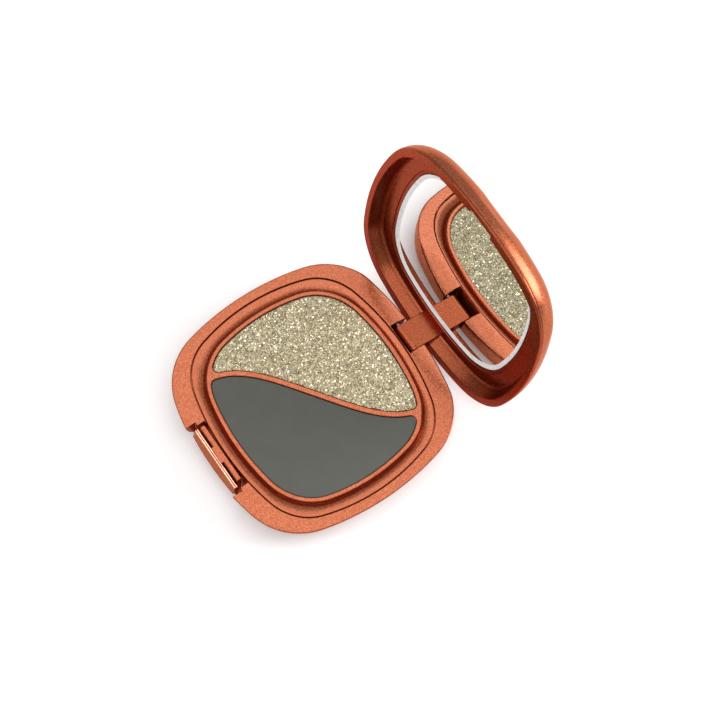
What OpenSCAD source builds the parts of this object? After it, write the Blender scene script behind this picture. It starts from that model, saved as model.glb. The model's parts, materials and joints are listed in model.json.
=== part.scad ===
// Two-pan eyeshadow compact with a mirror lid, standing open.
// Units are millimetres. The origin is the centre of the base's flat underside, +Z is up,
// X runs along the hinge and -Y is the side that the lid opens from.

/* [Case] */
// Width and depth of the case across its flat-looking sides
case_w = 62; // [58:0.5:66]
// Radius of the bowed sides
side_bow_r = 68; // [60:1:80]
// Radius of the rounded corners
corner_r = 17; // [15:0.5:19]
// Height of the base, underside to rim
base_h = 9; // [8.5:0.1:11]
// Height of the closed lid above the base rim
lid_h = 10.6; // [10.2:0.1:12]

/* [Hinge] */
// Angle between the closed lid and the lid standing open
lid_open = 101.8; // [95:0.1:103]
// Distance from the case centre back to the hinge axis
hinge_y = 28.4; // [28.2:0.1:28.5]
// Depth of the hinge axis below the base rim
hinge_drop = 3.6; // [3.4:0.1:3.8]
// Diameter of the hinge pin
pin_d = 1.5; // [1.2:0.1:1.6]
// Length of the hinge pin
pin_len = 18; // [14:0.5:19]
// Width of the lid's hinge lug
lug_w = 7.4; // [6:0.1:8]
// Thickness of the hinge lug, which is also its barrel diameter
lug_t = 3.5; // [3.2:0.1:3.6]
// Width of the slot in the base that the lug turns in
slot_w = 8.4; // [8.2:0.1:9]

/* [Pans] */
// Half width of the pan area
pan_half_w = 24; // [22:0.1:24.2]
// Half depth of the pan area
pan_half_d = 21.9; // [20:0.1:22]
// Width of the divider between the two pans
divider_w = 1.4; // [1:0.1:2]
// Slope of the divider at its middle, in degrees
divider_slope = 36; // [30:1:42]
// Sheet thickness of the pressed pans
pan_sheet = 0.35; // [0.3:0.05:0.5]
// Height of the pressed pans
pan_h = 1.9; // [1.6:0.1:2]

/* [Mirror] */
// Half width of the mirror glass
mirror_half_w = 23.2; // [22:0.1:23.3]
// Half depth of the mirror glass
mirror_half_d = 23.8; // [22:0.1:23.9]
// Thickness of the mirror glass
mirror_t = 1.4; // [1:0.1:1.5]
// Depth of the glass below the lid's rim
mirror_depth = 4.3; // [4.2:0.1:4.5]

/* [Latch] */
// Width of the thumb recess in the front rim
recess_w = 20.4; // [19:0.1:22]
// Width of the sprung latch tongue
tongue_w = 16; // [14:0.1:16.4]
// Height of the tongue above the rim
tongue_rise = 2; // [1:0.1:2.2]

/* [Hidden] */

copper = [0.80, 0.42, 0.29];
copper_dark = [0.62, 0.28, 0.16];
half = case_w / 2;
eps = 0.01;
fine = 0.05;
// How far a cut runs on beyond the face that it opens
over = 1;

// Steps along each bowed side and each corner of an outline, per quarter
side_steps = 4;
corner_steps = 9;
bore_fn = 48;
wide_fn = 72;

// Base side wall: its lean, and the reach and power of its turn-in towards the underside
side_lean = 0.16;
belly_in = 4.6;
belly_power = 3;

// Base heights, from the underside
floor_t = 1.4;
seat_z = base_h - 1.8;
tray_edge_z = base_h - 0.15;
valley_z = base_h - 1.05;
ridge_z = base_h + 0.2;
pan_top_z = base_h - 0.5;
pan_floor_z = pan_top_z - pan_h;
glue_t = 0.2;
pocket_floor_z = pan_floor_z - glue_t;
tray_floor_t = 1;
powder_z = base_h - 0.15;
label_d = 29.4;
label_t = 0.15;
label_in = 0.1;
label_gap = 0.3;

// Tray outlines, half width and half depth
tray_half_w = 28.2;
tray_half_d = 25.5;
tray_gap = 0.25;
tray_bow = 60;
tray_corner = 14;
ridge_w = 1.1;
pocket_taper = 0.3;
pan_shift_y = 0.35;
pan_bow = 56;
pan_corner = 14;
pan_gap = 0.1;
pan_round = 1;
divider_mid_y = 0.85;
divider_twist = 0.0025;
divider_run = 30;
divider_steps = 14;
well_half_w = 26.2;
well_half_d = 23.5;
glue_in = 3;
// Tray flank and ridge, as inset from their outlines and height
tray_flank = [[0, tray_edge_z], [0.7, tray_edge_z - 0.2], [1.3, valley_z]];
tray_ridge = [[-0.1, valley_z + 0.5], [0.05, ridge_z - 0.2], [0.3, ridge_z]];

// Hinge and latch
hinge_z = base_h - hinge_drop;
pin_clear = 0.02;
pin_end_gap = 0.1;
lug_clear = 0.05;
slot_front_y = 25.9;
barrel_gap = 0.6;
slot_floor_z = hinge_z - lug_t / 2 - barrel_gap;
rear_slope_y = 28.05;
rear_slope_drop = 1.5;
recess_back_y = -27.35;
recess_z = base_h - 6.6;
tongue_space_y = -24.5;
button_w = 17.4;
button_back_y = -27.85;
button_foot_y = -28.2;
button_belly_y = -29.2;
button_belly_z = base_h - 4.2;
bar_r = 0.35;
bar_y = -28.2;
bar_z = base_h - 0.5;
foot_gap = 0.05;
foot_t = 0.8;
slit_w = 1.3;
tongue_t = 1.15;
lip_w = 4.6;
lip_reach = 0.75;
lip_h = 0.8;

// Lid heights, from the base rim plane with the lid closed
rim_gap = 0.15;
flange_t = 0.9;
cover_wall = 0.9;
cover_top = 1.2;
shell_gap = 0.05;
bowl_half_w = half - 1.9;
bowl_half_d = half - 2.8;
bezel_z = mirror_depth - 0.5;
bowl_draft = 1.1;
bowl_bow = 64;
bowl_corner = 15.5;
tape_t = 0.25;
tape_in = 3.3;
glass_bow = 55;
glass_corner = 13;
glass_bevel = 1;
glass_bevel_h = 0.2;
glass_gap = 0.1;
mirror_seat_z = mirror_depth + mirror_t + tape_t;
frame_floor_t = 1.1;
frame_back_z = mirror_seat_z + frame_floor_t;
shoulder_z = 9;
shoulder_in = 7.8;
shoulder_power = 2.87;
dome_corner = 0.45;
notch_w = 8;
notch_h = 2.6;
notch_reach = 1.1;
tongue_room = 0.25;
scallop_r = 9;
scallop_cut = 0.5;

// Inset of the base's side wall at a depth below the rim
function base_inset(h) = side_lean * h + belly_in * (1 - sqrt(max(0, 1 - pow(h / base_h, belly_power))));

// Inset of the lid's side wall at a height above the rim
function lid_inset(z) = shoulder_in * pow(z / shoulder_z, shoulder_power);

// Height of the lid's domed top at an inset from the outline
function dome_z(d) = shoulder_z + (lid_h - shoulder_z) * (1 - pow((half - d) / (half - shoulder_in), 2));

// Distance of the corner arc's centre from both axes, for half width a, side bow R, corner r
function corner_c(a, R, r) = ((a - R) + sqrt(2 * pow(R - r, 2) - pow(a - R, 2))) / 2;

// First quarter of a rounded square made of a side arc, a corner arc and a side arc
function quarter(a, R, r) =
    let (c = corner_c(a, R, r), t = atan2(c, c - (a - R)))
    concat(
        [for (i = [0 : side_steps - 1]) let (g = t * i / side_steps) [a - R + R * cos(g), R * sin(g)]],
        [for (i = [0 : corner_steps]) let (g = t + (90 - 2 * t) * i / corner_steps)
            [c + r * cos(g), c + r * sin(g)]],
        [for (i = [1 : side_steps - 1]) let (g = 90 - t + t * i / side_steps)
            [R * cos(g), a - R + R * sin(g)]]
    );

// Whole outline, counter-clockwise, squeezed in depth to half depth b
function outline(a, b, R, r) =
    let (q = quarter(a, R, r))
    [for (k = [0 : 3], p = q) let (c = cos(90 * k), s = sin(90 * k))
        [round(c) * p.x - round(s) * p.y, (round(s) * p.x + round(c) * p.y) * b / a]];

// Case outline moved inwards by d
function case_ring(d) = outline(half - d, half - d, side_bow_r - d, corner_r - d);

// Pan area outline moved inwards by d
function pan_ring(d) = outline(pan_half_w - d, pan_half_d - d, pan_bow - d, pan_corner - d);

function at_z(ring, z, dy = 0) = [for (p = ring) [p.x, p.y + dy, z]];

// Closed solid through a stack of rings that all have the same number of points
module loft(rings) {
    n = len(rings[0]);
    m = len(rings);
    polyhedron(
        points = [for (r = rings, p = r) p],
        faces = concat(
            [[for (i = [0 : n - 1]) i]],
            [for (k = [0 : m - 2], i = [0 : n - 1]) let (j = (i + 1) % n)
                [k * n + i, (k + 1) * n + j, k * n + j]],
            [for (k = [0 : m - 2], i = [0 : n - 1]) let (j = (i + 1) % n)
                [k * n + i, (k + 1) * n + i, (k + 1) * n + j]],
            [[for (i = [n - 1 : -1 : 0]) (m - 1) * n + i]]
        )
    );
}

module prism(ring, z0, z1) {
    translate([0, 0, z0])
        linear_extrude(z1 - z0)
            polygon(ring);
}

module block(x0, x1, y0, y1, z0, z1) {
    translate([x0, y0, z0])
        cube([x1 - x0, y1 - y0, z1 - z0]);
}

module bar_x(r, len, y, z) {
    translate([-len / 2, y, z])
        rotate([0, 90, 0])
            cylinder(r = r, h = len, $fn = bore_fn);
}

// Turns a lid part from its closed place to its place standing open
module opened() {
    translate([0, hinge_y, hinge_z])
        rotate([-lid_open, 0, 0])
            translate([0, -hinge_y, -hinge_z])
                translate([0, 0, base_h])
                    children();
}

// ---- base ----

module base_body() {
    heights = [for (i = [0 : 9]) base_h * (1 - pow(i / 9, 1.6))];
    loft([for (z = [for (i = [9 : -1 : 0]) heights[i]]) at_z(case_ring(base_inset(base_h - z)), z)]);
}

// Space for the tray: a wide shallow step that the tray's flange sits on, and the deep well below
module tray_well() {
    step_w = tray_half_w + tray_gap;
    step_d = tray_half_d + tray_gap;
    prism(outline(step_w, step_d, tray_bow, tray_corner), seat_z, base_h + over);
    prism(outline(well_half_w, well_half_d, pan_bow, glass_corner), floor_t, seat_z + eps);
}

// Wedge above the sloping rear edge, which lets the lid swing back
module rear_relief() {
    rise = 3;
    run = half - rear_slope_y;
    translate([-half, 0, base_h])
        rotate([90, 0, 90])
            linear_extrude(case_w)
                polygon([
                    [rear_slope_y, 0],
                    [rear_slope_y + 2 * run, -2 * rear_slope_drop],
                    [rear_slope_y + 2 * run, rise],
                    [rear_slope_y, rise]
                ]);
}

module base_shell() {
    color(copper)
        difference() {
            base_body();
            tray_well();
            rear_relief();
            block(-slot_w / 2, slot_w / 2, slot_front_y, half + over, slot_floor_z, base_h + over);
            block(-recess_w / 2, recess_w / 2, -half - over, recess_back_y, recess_z, base_h + over);
            block(-tongue_w / 2 - slit_w, tongue_w / 2 + slit_w, recess_back_y - eps, tongue_space_y,
                recess_z, base_h + over);
            bar_x(pin_d / 2 + pin_clear, pin_len + 2 * pin_end_gap, hinge_y, hinge_z);
            translate([0, 0, -over])
                cylinder(d = label_d + 2 * label_gap, h = over + label_in + label_t, $fn = wide_fn);
        }
}

// One edge of the S-shaped divider, end to end. Its middle is straight, so no point stands there.
function divider_points(side) =
    [for (k = [-1, 1], i = [(k < 0 ? divider_steps : 1) : k : (k < 0 ? 1 : divider_steps)])
        divider_at(k * i, side)];

// Point on the S-curve after i steps from the middle, moved sideways by half the divider
function divider_at(i, side) =
    let (
        k = i < 0 ? -1 : 1,
        p = divider_walk(abs(i)),
        g = divider_heading(abs(i) * divider_run / divider_steps)
    )
    [k * p.x - side * sin(g) * divider_w / 2, divider_mid_y + k * p.y + side * cos(g) * divider_w / 2];

function divider_heading(s) = divider_slope + divider_twist * pow(s, 3);

function divider_walk(i) =
    i == 0
        ? [0, 0]
        : let (ds = divider_run / divider_steps, g = divider_heading((i - 0.5) * ds))
            divider_walk(i - 1) + [ds * cos(g), ds * sin(g)];

module pan_side_2d(side) {
    offset(r = pan_round)
        offset(delta = -pan_round)
            intersection() {
                translate([0, pan_shift_y])
                    polygon(pan_ring(0));
                polygon(concat(
                    divider_points(side),
                    [[-side * case_w, case_w], [-side * case_w, -case_w]]
                ));
            }
}

// Tray without its pockets: pocket body, flange, valley and ridge as one closed form
module tray_body() {
    loft(concat(
        [at_z(pan_ring(pocket_taper - ridge_w), pocket_floor_z - tray_floor_t, pan_shift_y)],
        [at_z(pan_ring(-ridge_w), seat_z, pan_shift_y)],
        [at_z(outline(tray_half_w, tray_half_d, tray_bow, tray_corner), seat_z)],
        [for (f = tray_flank)
            at_z(outline(tray_half_w - f[0], tray_half_d - f[0], tray_bow - f[0], tray_corner - f[0]), f[1])],
        [for (f = tray_ridge) at_z(pan_ring(f[0] - ridge_w), f[1], pan_shift_y)]
    ));
}

module pan_tray() {
    color(copper)
        difference() {
            tray_body();
            for (side = [-1, 1])
                translate([0, 0, pocket_floor_z])
                    linear_extrude(base_h)
                        pan_side_2d(side);
        }
}

// Open pan of pressed sheet for one side of the divider
module pressed_pan(side) {
    difference() {
        translate([0, 0, pan_floor_z])
            linear_extrude(pan_h)
                offset(delta = -pan_gap)
                    pan_side_2d(side);
        translate([0, 0, pan_floor_z + pan_sheet])
            linear_extrude(pan_h)
                offset(delta = -pan_gap - pan_sheet)
                    pan_side_2d(side);
    }
}

// Powder that fills a pan and stands a little above it, covering its edge
module pressed_powder(side) {
    translate([0, 0, pan_floor_z + pan_sheet])
        linear_extrude(pan_h - pan_sheet + eps)
            offset(delta = -pan_gap - pan_sheet)
                pan_side_2d(side);
    translate([0, 0, pan_top_z])
        linear_extrude(powder_z - pan_top_z)
            offset(delta = -fine)
                pan_side_2d(side);
}

module pan_glue(side) {
    translate([0, 0, pocket_floor_z])
        linear_extrude(glue_t)
            offset(delta = -glue_in)
                pan_side_2d(side);
}

module gold_pan() {
    color("silver")
        pressed_pan(1);
}

module grey_pan() {
    color("silver")
        pressed_pan(-1);
}

module gold_powder() {
    color([0.72, 0.66, 0.47])
        pressed_powder(1);
}

module grey_powder() {
    color([0.35, 0.36, 0.33])
        pressed_powder(-1);
}

module gold_pan_glue() {
    color("ivory")
        pan_glue(1);
}

module grey_pan_glue() {
    color("ivory")
        pan_glue(-1);
}

// Sprung tongue and the button in front of it, which are one moulding joined at the foot
module latch_tongue() {
    foot_z = recess_z + foot_gap;
    top_z = base_h + tongue_rise;
    back_y = recess_back_y + tongue_t;
    lip_y = recess_back_y - lip_reach;
    color(copper)
        union() {
            block(-tongue_w / 2, tongue_w / 2, recess_back_y, back_y, foot_z, top_z);
            block(-lip_w / 2, lip_w / 2, lip_y, recess_back_y + eps, top_z - lip_h, top_z);
            block(-tongue_w / 2, tongue_w / 2, button_foot_y, recess_back_y + eps, foot_z, foot_z + foot_t);
            bar_x(bar_r, button_w, bar_y, bar_z);
            translate([-button_w / 2, 0, 0])
                rotate([90, 0, 90])
                    linear_extrude(button_w)
                        polygon([
                            [button_back_y, foot_z],
                            [button_foot_y, foot_z],
                            [button_belly_y, button_belly_z],
                            [bar_y - bar_r, bar_z],
                            [button_back_y, bar_z]
                        ]);
        }
}

module hinge_pin() {
    color("silver")
        bar_x(pin_d / 2, pin_len, hinge_y, hinge_z);
}

module bottom_label() {
    color("white")
        translate([0, 0, label_in])
            cylinder(d = label_d, h = label_t, $fn = wide_fn);
}

// ---- lid, drawn closed with z = 0 in the base rim plane ----

// Stack of rings from a height up to the lid's side shoulder, moved inwards by w
function side_rings(z0, z1, w, steps) =
    [for (i = [0 : steps]) let (z = z0 + (z1 - z0) * i / steps) at_z(case_ring(lid_inset(z) + w), z)];

// Stack of rings over the domed top, lowered and moved inwards by the given wall
function dome_rings(w, top) =
    [for (d = [10, 14, 19, 24]) at_z(dome_ring(d + w), dome_z(d) - top)];

// Case outline moved far inwards by d, with a corner radius that never runs out
function dome_ring(d) =
    outline(half - d, half - d, side_bow_r - d, max(dome_corner * (half - d), corner_r - d));

module lid_cover() {
    color(copper)
        opened()
            difference() {
                loft(concat(side_rings(flange_t, shoulder_z, 0, 9), dome_rings(0, 0)));
                loft(concat(
                    side_rings(flange_t - over / 2, shoulder_z - cover_top, cover_wall, 7),
                    dome_rings(cover_wall, cover_top)
                ));
                translate([0, -half - scallop_r + scallop_cut, shoulder_z / 2])
                    cylinder(r = scallop_r, h = shoulder_z, $fn = wide_fn);
            }
}

module lid_bowl() {
    wide = outline(bowl_half_w, bowl_half_d, bowl_bow, bowl_corner);
    narrow = outline(bowl_half_w - bowl_draft, bowl_half_d - bowl_draft,
        bowl_bow - bowl_draft, bowl_corner - bowl_draft);
    loft([at_z(wide, -over), at_z(wide, rim_gap), at_z(narrow, bezel_z)]);
}

module lid_frame() {
    wall = cover_wall + shell_gap;
    color(copper_dark)
        opened()
            difference() {
                union() {
                    difference() {
                        union() {
                            loft(side_rings(rim_gap, flange_t, 0, 1));
                            loft(side_rings(flange_t - eps, frame_back_z, wall, 5));
                        }
                        lid_bowl();
                        prism(glass_ring(-glass_gap), 0, mirror_seat_z);
                        block(-notch_w / 2, notch_w / 2, -bowl_half_d - notch_reach, 0, -over, notch_h);
                        block(-tongue_w / 2 - tongue_room, tongue_w / 2 + tongue_room,
                            recess_back_y - tongue_room, 0, -over, tongue_rise + tongue_room);
                    }
                    translate([0, hinge_y, -hinge_drop])
                        hinge_lug();
                }
                bar_x(pin_d / 2 + lug_clear, lug_w + over, hinge_y, -hinge_drop);
            }
}

// Outline of the mirror glass moved inwards by d
function glass_ring(d) =
    outline(mirror_half_w - d, mirror_half_d - d, glass_bow - d, glass_corner - d);

// Lug with its barrel on the hinge axis. It stands up through the flange and, thinner, behind the cover wall.
module hinge_lug() {
    cover_back = half - cover_wall - shell_gap - lid_inset(bezel_z) - hinge_y;
    block(-lug_w / 2, lug_w / 2, -lug_t / 2, lug_t / 2, 0, hinge_drop + flange_t);
    block(-lug_w / 2, lug_w / 2, -lug_t / 2, cover_back, 0, hinge_drop + bezel_z + eps);
    bar_x(lug_t / 2, lug_w, 0, 0);
}

module mirror() {
    color("gainsboro")
        opened()
            loft([
                at_z(glass_ring(glass_bevel), mirror_depth),
                at_z(glass_ring(0), mirror_depth + glass_bevel_h),
                at_z(glass_ring(0), mirror_depth + mirror_t)
            ]);
}

module mirror_tape() {
    color("white")
        opened()
            prism(glass_ring(tape_in), mirror_depth + mirror_t, mirror_seat_z);
}

base_shell();
pan_tray();
latch_tongue();
gold_pan();
grey_pan();
gold_powder();
grey_powder();
gold_pan_glue();
grey_pan_glue();
hinge_pin();
bottom_label();
lid_frame();
lid_cover();
mirror();
mirror_tape();
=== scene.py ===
"""Look of a two-pan eyeshadow compact with a mirror lid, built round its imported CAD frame.

Sizes in the outlines and profiles are millimetres, and stay millimetres until a point is placed.
Lid parts are drawn closed, with z measured up from the base's rim, and then stood open on the hinge.
"""

import json
import math
import random

import bmesh
import bpy
from mathutils import Matrix, Vector


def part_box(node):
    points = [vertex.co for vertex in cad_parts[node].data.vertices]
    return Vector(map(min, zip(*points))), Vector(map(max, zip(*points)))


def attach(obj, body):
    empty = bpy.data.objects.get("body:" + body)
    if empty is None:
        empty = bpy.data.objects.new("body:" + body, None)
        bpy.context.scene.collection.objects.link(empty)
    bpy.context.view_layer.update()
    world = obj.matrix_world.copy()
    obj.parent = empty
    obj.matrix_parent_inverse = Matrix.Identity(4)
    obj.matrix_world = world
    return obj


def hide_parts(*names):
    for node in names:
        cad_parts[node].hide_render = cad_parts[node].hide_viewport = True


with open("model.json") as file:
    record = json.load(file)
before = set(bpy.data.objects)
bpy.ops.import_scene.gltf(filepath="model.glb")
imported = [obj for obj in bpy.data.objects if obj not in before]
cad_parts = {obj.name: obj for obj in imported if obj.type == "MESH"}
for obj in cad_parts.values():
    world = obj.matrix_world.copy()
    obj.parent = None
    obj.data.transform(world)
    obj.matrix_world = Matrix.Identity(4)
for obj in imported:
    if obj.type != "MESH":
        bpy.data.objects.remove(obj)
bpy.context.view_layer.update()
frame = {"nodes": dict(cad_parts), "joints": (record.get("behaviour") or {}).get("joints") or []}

MM = 0.001
random.seed(11)

# ---- sizes taken from the frame ----

case_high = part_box("base_shell")[1]
half = case_high.x / MM
rim_z = case_high.z / MM
lid_joint = frame["joints"][0]
hinge_y = lid_joint["pos_m"][1] / MM
hinge_z = lid_joint["pos_m"][2] / MM
lid_angle = math.radians(max(lid_joint["range_deg"]))
pin_low, pin_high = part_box("hinge_pin")
label_low, label_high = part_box("bottom_label")

# ---- case ----

SIDE_BOW = 68
CORNER = 17
SIDE_DRAFT = 0.16
SIDE_TUCK = 4.6
LID_TOP = 10.6
SHOULDER_Z = 9
SHOULDER_IN = 7.8
SHOULDER_POWER = 2.87
RIM_EDGE = 0.35
WELL_HALF = (26.2, 23.5)
WELL_CORNER = 13
WELL_FLOOR_Z = 1.4
LABEL_ROOM = 15
LABEL_DEEP = 0.25

# ---- tray and pans ----

TRAY_HALF = (28.2, 25.5)
TRAY_BOW = 60
TRAY_CORNER = 14
TRAY_GAP = 0.25
SEAT_Z = rim_z - 1.8
TRAY_EDGE_Z = rim_z - 0.15
VALLEY_Z = rim_z - 1.05
RIDGE_Z = rim_z + 0.2
RIDGE_W = 1.1
PAN_HALF = (24, 21.9)
PAN_BOW = 56
PAN_CORNER = 14
PAN_SHIFT = 0.35
POCKET_FLOOR_Z = rim_z - 2.6
PAN_LIP_Z = rim_z - 0.49
CAKE_FOOT_Z = rim_z - 2.05
POWDER_Z = rim_z - 0.15
DIVIDER_HALF = 0.7
DIVIDER_SLOPE = 36
DIVIDER_TWIST = 0.0025
DIVIDER_MID_Y = 0.85
DIVIDER_RUN = 30
POCKET_CORNER = 1.4

# ---- hinge and latch ----

SLOT_HALF = 4.2
SLOT_FRONT = 25.9
SLOT_FLOOR_Z = hinge_z - 2.35
SLOPE_START = 28.05
REAR_FALL = 1.5 / (half - SLOPE_START)
LUG_HALF = 3.7
LUG_THICK = 3.5
LUG_BORE = 0.8
PIN_RADIUS = 0.75
PIN_HOLE = 0.77
RECESS_HALF = 10.2
RECESS_BACK = -27.35
RECESS_Z = rim_z - 6.6
TONGUE_HALF = 8
TONGUE_THICK = 1.15
TONGUE_RISE = 2
SLIT = 1.3
SLIT_BACK = -24.5
NIB_HALF = 2.3
NIB_OUT = 0.75
NIB_TALL = 0.8
LATCH_FOOT_Z = RECESS_Z + 0.05
BUTTON_HALF = 8.7
BUTTON_BACK = -27.62
BUTTON_FRONT = -28.62
BUTTON_BEAD = (BUTTON_BACK - BUTTON_FRONT) / 4
BUTTON_BOW = 0.45
BUTTON_TOP_Z = rim_z - 0.35
BUTTON_BELLY = (-29.2, rim_z - 4.2)
BUTTON_FOOT = -28.2

# ---- lid ----

RIM_GAP = 0.15
FLANGE = 0.9
COVER_WALL = 0.9
COVER_TOP = 1.2
BOWL_HALF = (half - 1.9, half - 2.8)
BOWL_BOW = 64
BOWL_CORNER = 15.5
BOWL_DEEP = 2.75
BOWL_DRAFT = 0.75
BOWL_SWEEP = 0.85
GLASS_HALF = (23.2, 23.8)
GLASS_BOW = 55
GLASS_CORNER = 13
GLASS_Z = 4.3
GLASS_THICK = 1.4
BEZEL_Z = GLASS_Z - 0.5
GLASS_SEAT_Z = GLASS_Z + GLASS_THICK + 0.25
FRAME_BACK_Z = GLASS_SEAT_Z + 1.1
MIRROR_BORDER = 1.15
MIRROR_RISE = 0.42


# ---- outlines ----


def rounded_square(half_x, half_y, bow, corner, side_steps=14, corner_steps=26):
    """Points round a square with bowed sides and round corners, squeezed to half_y in depth"""
    gap = half_x - bow
    centre = (gap + math.sqrt(2 * (bow - corner) ** 2 - gap**2)) / 2
    turn = math.atan2(centre, centre - gap)
    quarter = []
    for i in range(side_steps):
        a = turn * i / side_steps
        quarter.append((gap + bow * math.cos(a), bow * math.sin(a)))
    for i in range(corner_steps + 1):
        a = turn + (math.pi / 2 - 2 * turn) * i / corner_steps
        quarter.append((centre + corner * math.cos(a), centre + corner * math.sin(a)))
    for i in range(1, side_steps):
        a = math.pi / 2 - turn + turn * i / side_steps
        quarter.append((bow * math.cos(a), gap + bow * math.sin(a)))
    squeeze = half_y / half_x
    points = []
    for c, s in ((1, 0), (0, 1), (-1, 0), (0, -1)):
        points += [(c * x - s * y, (s * x + c * y) * squeeze) for x, y in quarter]
    return points


def case_ring(inset):
    """The case's outline moved inwards"""
    return rounded_square(half - inset, half - inset, SIDE_BOW - inset, CORNER - inset)


def dome_ring(inset):
    """The case's outline moved far inwards, with a corner that never runs out"""
    left = half - inset
    return rounded_square(left, left, SIDE_BOW - inset, max(0.45 * left, CORNER - inset))


def tray_ring(inset):
    """The tray's outline moved inwards"""
    return rounded_square(
        TRAY_HALF[0] - inset, TRAY_HALF[1] - inset, TRAY_BOW - inset, TRAY_CORNER - inset
    )


def pan_ring(inset):
    """The outline round both pans moved inwards"""
    ring = rounded_square(
        PAN_HALF[0] - inset, PAN_HALF[1] - inset, PAN_BOW - inset, PAN_CORNER - inset
    )
    return [(x, y + PAN_SHIFT) for x, y in ring]


def bowl_ring(inset):
    """The mouth of the lid's bowl moved inwards"""
    return rounded_square(
        BOWL_HALF[0] - inset, BOWL_HALF[1] - inset, BOWL_BOW - inset, BOWL_CORNER - inset
    )


def glass_ring(inset):
    """The mirror's outline moved inwards"""
    return rounded_square(
        GLASS_HALF[0] - inset, GLASS_HALF[1] - inset, GLASS_BOW - inset, GLASS_CORNER - inset
    )


def between(ring_a, ring_b, share):
    """Ring part of the way from one ring to another"""
    return [
        (xa + (xb - xa) * share, ya + (yb - ya) * share)
        for (xa, ya), (xb, yb) in zip(ring_a, ring_b)
    ]


def grown(ring, by):
    """Closed ring moved outwards along its own normals"""
    count = len(ring)
    moved = []
    for i, (x, y) in enumerate(ring):
        (xa, ya), (xb, yb) = ring[i - 1], ring[(i + 1) % count]
        length = math.hypot(xb - xa, yb - ya)
        moved.append((x + by * (yb - ya) / length, y - by * (xb - xa) / length))
    return moved


def rounded_box(x0, x1, y0, y1, corner, grow=0, steps=6):
    """Points round a rectangle with round corners, counter-clockwise"""
    x0, x1, y0, y1 = x0 - grow, x1 + grow, y0 - grow, y1 + grow
    radius = corner + grow
    points = []
    for cx, cy, start in (
        (x1 - radius, y0 + radius, -90),
        (x1 - radius, y1 - radius, 0),
        (x0 + radius, y1 - radius, 90),
        (x0 + radius, y0 + radius, 180),
    ):
        for i in range(steps + 1):
            a = math.radians(start + 90 * i / steps)
            points.append((cx + radius * math.cos(a), cy + radius * math.sin(a)))
    return points


def rounding(radius, steps=6):
    """(inward, upward) steps of a quarter round that starts upright and ends level"""
    angles = [math.pi / 2 * i / steps for i in range(steps + 1)]
    return [(radius * (1 - math.cos(a)), radius * math.sin(a)) for a in angles]


# ---- the S-shaped divider between the pans ----


def divider_track(step=0.25):
    """(x, y, heading) along the divider's centre line, from its lower left end to its upper right"""
    x = y = 0.0
    track = [(0.0, DIVIDER_MID_Y, math.radians(DIVIDER_SLOPE))]
    count = int(DIVIDER_RUN / step)
    for i in range(1, count + 1):
        middle = math.radians(DIVIDER_SLOPE + DIVIDER_TWIST * ((i - 0.5) * step) ** 3)
        x += step * math.cos(middle)
        y += step * math.sin(middle)
        heading = math.radians(DIVIDER_SLOPE + DIVIDER_TWIST * (i * step) ** 3)
        track.append((x, DIVIDER_MID_Y + y, heading))
        track.insert(0, (-x, DIVIDER_MID_Y - y, heading))
    return track


TRACK = divider_track()


def beside_divider(x, y, side):
    """(distance from the divider's centre line, place along it) of a point, on the given side"""
    best = min(range(len(TRACK)), key=lambda i: (TRACK[i][0] - x) ** 2 + (TRACK[i][1] - y) ** 2)
    tx, ty, heading = TRACK[best]
    away = (-(x - tx) * math.sin(heading) + (y - ty) * math.cos(heading)) * side
    return away, best


def pocket_ring(side):
    """Outline of one pan's pocket: the pan area on one side of the divider, with rounded tips"""
    inner, outer = pan_ring(POCKET_CORNER), pan_ring(0)
    reach = DIVIDER_HALF + POCKET_CORNER
    count = len(inner)
    away = [beside_divider(x, y, side)[0] - reach for x, y in inner]
    first = next(i for i in range(count) if away[i] > 0 and away[i - 1] <= 0)
    kept = []
    i = first
    while away[i % count] > 0:
        kept.append(i % count)
        i += 1

    def tip(inside, outside):
        share = away[inside] / (away[inside] - away[outside])
        centre = between([inner[inside]], [inner[outside]], share)[0]
        edge = between([outer[inside]], [outer[outside]], share)[0]
        facing = math.atan2(edge[1] - centre[1], edge[0] - centre[0])
        return centre, facing, beside_divider(*centre, side)[1]

    def arc(centre, start, end, steps=10):
        sweep = (end - start) % (2 * math.pi)
        return [
            (
                centre[0] + POCKET_CORNER * math.cos(start + sweep * k / steps),
                centre[1] + POCKET_CORNER * math.sin(start + sweep * k / steps),
            )
            for k in range(steps + 1)
        ]

    end_centre, end_facing, end_place = tip(kept[-1], (kept[-1] + 1) % count)
    start_centre, start_facing, start_place = tip(kept[0], kept[0] - 1)
    towards = -side * math.pi / 2
    ring = [outer[k] for k in kept]
    ring += arc(end_centre, end_facing, TRACK[end_place][2] + towards)
    step = 1 if start_place > end_place else -1
    for place in range(end_place + 2 * step, start_place - step, 2 * step):
        tx, ty, heading = TRACK[place]
        ring.append(
            (
                tx - side * DIVIDER_HALF * math.sin(heading),
                ty + side * DIVIDER_HALF * math.cos(heading),
            )
        )
    ring += arc(start_centre, TRACK[start_place][2] + towards, start_facing)
    return ring


GOLD_RING = pocket_ring(1)
GREY_RING = pocket_ring(-1)


# ---- placing ----


def as_drawn(x, y, z):
    return Vector((x, y, z)) * MM


def stood_open(x, y, z):
    """Place of a lid point, drawn closed with z above the base's rim, when the lid stands open"""
    along, up = y - hinge_y, z + rim_z - hinge_z
    c, s = math.cos(lid_angle), math.sin(lid_angle)
    return Vector((x, hinge_y + along * c + up * s, hinge_z - along * s + up * c)) * MM


# ---- hand tools ----


def let_go():
    """Object mode, with nothing selected"""
    if bpy.context.object and bpy.context.object.mode != "OBJECT":
        bpy.ops.object.mode_set(mode="OBJECT")
    bpy.ops.object.select_all(action="DESELECT")


def take_up(piece):
    """Selects one piece alone and makes it the active one"""
    let_go()
    piece.select_set(True)
    bpy.context.view_layer.objects.active = piece


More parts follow.
